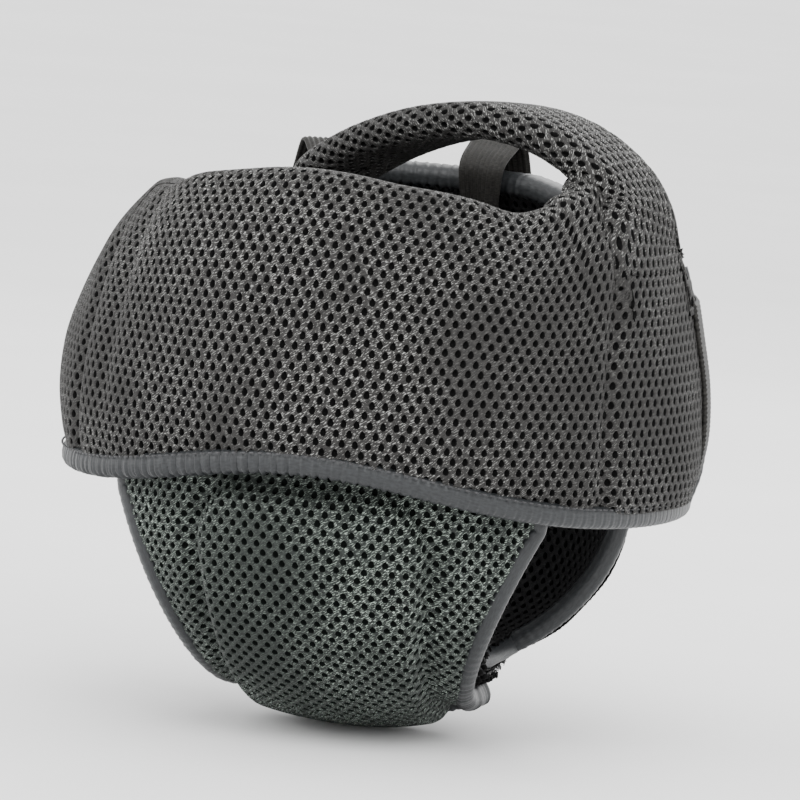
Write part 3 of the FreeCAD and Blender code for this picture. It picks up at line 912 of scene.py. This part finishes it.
def bowl_patch(name, bowl, pad, facing, half_x, y_range, thickness, look):
    """A flat patch that lies on a crown bowl."""
    radius = bowl[0] - pad
    length = y_range[1] - y_range[0]

    def surface(a, b):
        across = np.arcsin(np.clip(b / radius, -1, 1))
        down = np.arcsin(np.clip(facing * (y_range[0] + a) / LONG / (radius * np.cos(across)), -1, 1))
        return bowl_point(across, down, bowl, pad, facing)
    return webbing(name, surface, length, half_x * 2, thickness, look, 0.12, 2.3, 70)


def fuzz(name, half_x, y_range, count, seed):
    """Stray loops that stand on the rear flap's loop patch."""
    rng = np.random.default_rng(seed)
    radius = FLAP_BOWL[0]
    points, faces = [], []
    for _ in range(count):
        x = rng.uniform(-half_x, half_x)
        y = rng.uniform(*y_range)
        across = math.asin(x / radius)
        down = math.asin(y / LONG / (radius * math.cos(across)))
        foot = bowl_point(np.array(across), np.array(down), FLAP_BOWL, 0, 1)
        out = foot + np.array([0, 0, ORIGIN_HEIGHT - CROWN_RIM])
        out /= np.linalg.norm(out)
        turn = rng.uniform(0, math.pi)
        side = np.cross(out, (math.cos(turn), math.sin(turn), 0.2))
        side /= np.linalg.norm(side)
        tall, wide = rng.uniform(0.8, 2.8), rng.uniform(0.5, 1.1)
        base = len(points)
        for angle in np.linspace(0, math.pi, 5):
            centre = foot + side * wide * math.cos(angle) + out * (tall * math.sin(angle) + 0.3)
            ahead = np.cross(side, out)
            for spoke in (side * 0.12 + out * 0.12, ahead * 0.16, -side * 0.12 - out * 0.12):
                points.append(centre + spoke)
        for ring in range(4):
            for k in range(3):
                low = base + ring * 3
                faces.append((low + k, low + (k + 1) % 3, low + 3 + (k + 1) % 3, low + 3 + k))
        faces.append((base + 2, base + 1, base))
        faces.append((base + 12, base + 13, base + 14))
    return make_object(name, points, faces, FUZZ_LOOK, np.asarray(points)[:, :2])


# ---------------------------------------------------------------- chin strap


STRAP_LINE = Line([s[0] for s in STRAP])
STRAP_KNOTS = [STRAP_LINE.length_of_point(s[0]) for s in STRAP]
STRAP_START = np.interp(STRAP_ROOT_HEIGHT, STRAP_LINE.dense[:60, 2], STRAP_LINE.lengths[:60])


def strap_value(length, column):
    return np.interp(length, STRAP_KNOTS, [s[column] for s in STRAP])


def strap_frame(length):
    """Centre, direction across and direction outwards of the chin strap."""
    centre = STRAP_LINE.at(length)
    along = STRAP_LINE.at(length + 1.5) - STRAP_LINE.at(length - 1.5)
    along /= np.linalg.norm(along, axis=-1, keepdims=True)
    turn = np.radians(strap_value(length, 1))
    across = np.stack([np.cos(turn), np.sin(turn), np.zeros_like(turn)], axis=-1)
    across -= along * (across * along).sum(axis=-1, keepdims=True)
    across /= np.linalg.norm(across, axis=-1, keepdims=True)
    return centre - np.array([0, 0, ORIGIN_HEIGHT]), across, np.cross(across, along)


def strap_sizes(length):
    """Half thickness and half of the flat part of the strap's section."""
    half = strap_value(length, 3) / 2
    flat = strap_value(length, 2) / 2 - half
    left = np.clip((STRAP_LINE.length - length) / 6.0, 0.02, 1)
    taper = np.sqrt(1 - (1 - left) ** 2)
    return half * taper, flat * (0.5 + 0.5 * taper)


def strap_tube(p, length):
    """The strap's skin: p runs round its section from the middle of its outer face."""
    centre, across, out = strap_frame(length)
    half, flat = strap_sizes(length)
    distance = np.abs(p)
    turn = np.clip((distance - flat) / half, 0, math.pi)
    x = np.minimum(distance, flat) + half * np.sin(turn)
    x = x - np.maximum(distance - flat - math.pi * half, 0)
    y = half * np.cos(turn) + 0.8 * np.cos(np.clip(x / (flat + half), -1, 1) * math.pi / 2) * np.cos(turn)
    bend = 100 + 12 * np.maximum(length - STRAP_START, 0)
    sag = bend * (1 - np.cos(x / bend))
    x = np.sign(p) * bend * np.sin(x / bend)
    return centre + across * x[..., None] + out * (y - sag)[..., None]


def strap_surface():
    middle = math.radians(78.4) * column_radius(STRAP_ROOT) - SEAM_COLUMN

    def flat(u, v):
        length = STRAP_START + v - STRAP_ROOT
        loose = strap_tube(u - middle, length)
        sewn = side_surface(1)(u, np.minimum(v, RIM_LENGTH))
        flat_half = strap_sizes(length)[1]
        share = np.maximum(smooth((v - STRAP_ROOT) / 20), smooth((np.abs(u - middle) - flat_half + 6) / 8))
        return sewn + (loose - sewn) * share[..., None]
    return padded_surface(flat, lambda u, v: 0.4 * ripple(u, v, 6.0)), middle


def chin_strap():
    """The strap's mesh, which runs on from the right side of the band and over the opening."""
    surface, middle = strap_surface()

    def clip(u, v):
        length = STRAP_START + v - STRAP_ROOT
        half, flat = strap_sizes(length)
        around = 2 * flat + math.pi * half
        inner = np.abs(u - middle) > flat - 2
        low = np.where(inner, STRAP_ROOT - 16, STRAP_ROOT)
        high = STRAP_ROOT + STRAP_LINE.length - STRAP_START
        return middle + np.clip(u - middle, -around, around), np.clip(v, low, high)
    top = STRAP_ROOT + STRAP_LINE.length - STRAP_START
    return mesh_fabric("chin_strap_mesh", surface, (-90, 130), (STRAP_ROOT - 18, top), clip, MESH_LOOK)


# ---------------------------------------------------------------- elastics and fasteners


def side_strip(name, sign, bearings, heights, gap, thickness, look, rib_pitch=1.5):
    """A strip that follows the side of the headgear between two bearings."""
    start, stop = np.radians(bearings)
    middle = (heights[0] + heights[1]) / 2
    length = (stop - start) * 106 * ROUND

    def surface(a, b):
        bearing = sign * (start + a / (106 * ROUND))
        height = middle - b * sign
        section = OUTER.at(OUTER.length_at_height(height))
        raised = section[..., 1] + rim_rise(bearing) * smooth((height - 105) / 76)
        return ring_point(bearing, section[..., 0] + gap, raised)
    return webbing(name, surface, length, heights[1] - heights[0], thickness, look, 0.16, rib_pitch)


def folded_elastic(name, bearing, route, widths, lean):
    """Webbing folded over the rear rim: its route is (distance, height) points."""
    line = Line(route)
    turn = math.radians(bearing)
    outward = np.array([math.sin(turn), -math.cos(turn) * LONG, 0])
    outward /= np.linalg.norm(outward)
    sideways = np.array([-outward[1], outward[0], 0])

    def surface(a, b):
        section = line.at(a)
        share = a / line.length
        width = widths[0] + (widths[1] - widths[0]) * smooth((share - 0.45) / 0.5)
        shift = b * width / widths[0] + lean * smooth((share - 0.45) / 0.5)
        fan = 1.5 * np.sin(b / 3.0) * smooth((share - 0.5) / 0.4)
        return (outward * (section[..., :1] + fan[..., None]) + sideways * shift[..., None]
                + np.array([0, 0, 1]) * (section[..., 1:] - ORIGIN_HEIGHT))
    return webbing(name, surface, line.length, widths[0], 1.6, ELASTIC_LOOK, 0.22, 1.9)


# ---------------------------------------------------------------- assembly


def attach(pieces, body, slot, *nodes):
    """Fixes pieces to a CAD body and hides the nodes' CAD parts."""
    for piece in pieces:
        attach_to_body(piece, body)
    if nodes:
        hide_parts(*nodes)


def bend(pieces, still, moving, start, end, slot, *nodes):
    """Bakes the pieces' placement into their meshes and hides the nodes' CAD parts."""
    for piece in pieces:
        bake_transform(piece)
    if nodes:
        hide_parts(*nodes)


def build_band():
    front = front_band()
    right = side_band("right", 1, STRAP_ROOT)
    left = side_band("left", -1, BAND.length)
    lining = band_lining()
    tape, thread = lower_binding()
    right_end = end_binding("right", 1, STRAP_ROOT)
    left_end = end_binding("left", -1, RIM_LENGTH)
    attach([front], "front_shell", "air_mesh", "front_band_cover", "forehead_foam")
    attach([right], "front_shell", "air_mesh", "right_side_cover", "right_side_foam")
    attach([left], "front_shell", "air_mesh", "left_side_cover", "left_side_foam")
    attach([lining], "front_shell", "lining", "front_lining")
    attach([tape, thread], "front_shell", "binding", "front_lower_binding")
    attach([right_end], "front_shell", "binding", "right_end_binding")
    attach([left_end], "front_shell", "binding", "left_end_binding")


def build_back():
    outer, inner = back_pad()
    rim, low, right_end, left_end = back_bindings()
    attach([outer], "back_pad", "air_mesh", "back_pad_cover", "back_pad_foam")
    attach([inner], "back_pad", "lining", "back_pad_lining")
    attach([rim], "back_pad", "binding", "back_rim_binding")
    attach([low], "back_pad", "binding", "back_lower_binding")
    attach([right_end, left_end], "back_pad", "binding", "back_end_bindings")


def build_crown():
    outer, inner = crown_panel()
    right, left, end = panel_bindings()
    fold = ("front_shell", "crown_panel", *PANEL_FOLD)
    bend([outer], *fold, "air_mesh", "crown_panel_cover", "crown_centre_pad", "crown_side_pads")
    bend([inner], *fold, "lining", "crown_panel_lining")
    bend([right], *fold, "binding", "crown_panel_right_binding")
    bend([left], *fold, "binding", "crown_panel_left_binding")
    attach([end], "crown_panel", "binding", "crown_panel_end_binding")
    hook = bowl_patch("crown_hook_tape", PANEL_BOWL, PANEL_PAD + 0.6, -1, 25, (-20, 4), 1.1, HOOK_LOOK)
    attach([hook], "crown_panel", "hook", "crown_hook_patch")


def build_flap():
    outer, inner, tape = crown_flap()
    fold = ("back_pad", "crown_flap", *FLAP_FOLD)
    bend([outer], *fold, "air_mesh", "flap_root_cover", "flap_root_foam", "flap_tongue_cover", "flap_tongue_foam")
    bend([inner], *fold, "lining", "flap_root_lining", "flap_tongue_lining")
    bend([tape], *fold, "binding", "flap_root_bindings", "flap_tongue_bindings")
    patch = bowl_patch("crown_loop_tape", FLAP_BOWL, -1.2, 1, 43, (-30, 30), 1.3, FUZZ_LOOK)
    loops = fuzz("crown_loop_tufts", 43, (6, 29), 2600, 7)
    attach([patch, loops], "crown_flap", "loop", "crown_loop_patch")


def build_strap():
    strap = chin_strap()
    bend([strap], "front_shell", "chin_strap", *STRAP_LIFT, "air_mesh", "chin_strap_cover", "chin_strap_foam",
         "chin_hook_patch")


def build_elastics():
    for side, sign in (("right", 1), ("left", -1)):
        band = side_strip(side + "_side_elastic_web", sign, (93, 134.5), (90, 149), 0.8, 1.5, ELASTIC_LOOK)
        bend([band], "front_shell", "back_pad", *SIDE_STRETCH, "elastic", side + "_side_elastic")
        tab = side_strip(side + "_tab_web", sign, (135.5, 160), (94, 145), 0.0, 1.4, ELASTIC_LOOK)
        attach([tab], side + "_tab", "elastic", side + "_tab")
        hook = side_strip(side + "_tab_hook_tape", sign, (139.5, 158), (97, 142), -1.3, 0.8, HOOK_LOOK)
        attach([hook], side + "_tab", "hook", side + "_tab_hook")
    panel = side_strip("back_loop_tape", 1, (128, 232), (94, 145), -2.3, 0.9, FUZZ_LOOK, 2.3)
    attach([panel], "back_pad", "loop", "back_loop_panel")
    chin = folded_elastic("chin_elastic_web", 212, [(104.2, 152), (99.3, 165), (93, 175), (86, 184.5), (78.5, 182),
                                                    (72.5, 177), (69, 170), (62, 166.5), (50, 165.5)], (20, 19), 0)
    nape = folded_elastic("nape_elastic_web", 169.5, [(106.3, 152), (101.5, 165), (95, 177), (87, 189.5), (78.5, 187),
                                                      (72, 181.5), (73.5, 173), (79, 160), (84, 148)], (18, 12), 2)
    attach([chin], "back_pad", "elastic", "chin_elastic")
    attach([nape], "back_pad", "elastic", "nape_elastic")


def floor_material():
    material, nodes, links, shader = new_material("pale_floor")
    grain = noise_node(nodes, 6.0)
    ramp = ramp_node(nodes, 0.3, 0.7, (0.80, 0.80, 0.80), (0.84, 0.84, 0.84))
    links.new(coordinates(nodes, links, "Object", (1, 1, 1)), grain.inputs["Vector"])
    links.new(grain.outputs["Fac"], ramp.inputs["Fac"])
    links.new(ramp.outputs["Color"], shader.inputs["Base Color"])
    shader.inputs["Roughness"].default_value = 0.8
    return material


def area_light(name, place, size, power, target):
    light = bpy.data.lights.new(name, "AREA")
    light.size = size
    light.energy = power
    lamp = bpy.data.objects.new(name, light)
    lamp.location = place
    lamp.rotation_euler = (Vector(target) - Vector(place)).to_track_quat("-Z", "Y").to_euler()
    bpy.context.scene.collection.objects.link(lamp)


def studio():
    """A pale floor, soft lights and a plain bright surround."""
    half = 9.0
    low = -ORIGIN_HEIGHT * MM - 0.001
    corners = [(-half, -half, low), (half, -half, low), (half, half, low), (-half, half, low)]
    mesh = bpy.data.meshes.new("floor")
    mesh.from_pydata(corners, [], [(0, 1, 2, 3)])
    mesh.materials.append(floor_material())
    floor = bpy.data.objects.new("floor", mesh)
    bpy.context.scene.collection.objects.link(floor)
    target = (0, 0, 0.08)
    area_light("key", (0.35, -0.9, 1.0), 0.7, 10, target)
    area_light("fill", (-1.0, -0.6, 0.5), 0.9, 7, target)
    area_light("back", (0.2, 1.0, 0.9), 0.8, 8, target)
    world = bpy.data.worlds.new("surround")
    world.use_nodes = True
    world.node_tree.nodes["Background"].inputs["Color"].default_value = (1, 1, 1, 1)
    world.node_tree.nodes["Background"].inputs["Strength"].default_value = 2.3
    bpy.context.scene.world = world


def camera():
    """The viewing direction of a low three-quarter view with a long lens."""
    azimuth, elevation, roll = math.radians(12), math.radians(6), math.radians(5)
    width, lens, sensor = 0.264, 400.0, 36.0
    target = Vector((0.0052, 0.0011, 0.0863))
    towards = Vector((math.sin(azimuth) * math.cos(elevation), -math.cos(azimuth) * math.cos(elevation),
                      math.sin(elevation)))
    data = bpy.data.cameras.new("camera")
    data.lens = lens
    data.sensor_width = sensor
    eye = bpy.data.objects.new("camera", data)
    eye.location = target + towards * (width * lens / sensor)
    eye.rotation_mode = "QUATERNION"
    eye.rotation_quaternion = (-towards).to_track_quat("-Z", "Y") @ Quaternion((0, 0, 1), roll)
    bpy.context.scene.collection.objects.link(eye)
    bpy.context.scene.camera = eye


build_band()
build_back()
build_crown()
build_flap()
build_strap()
build_elastics()
studio()
camera()
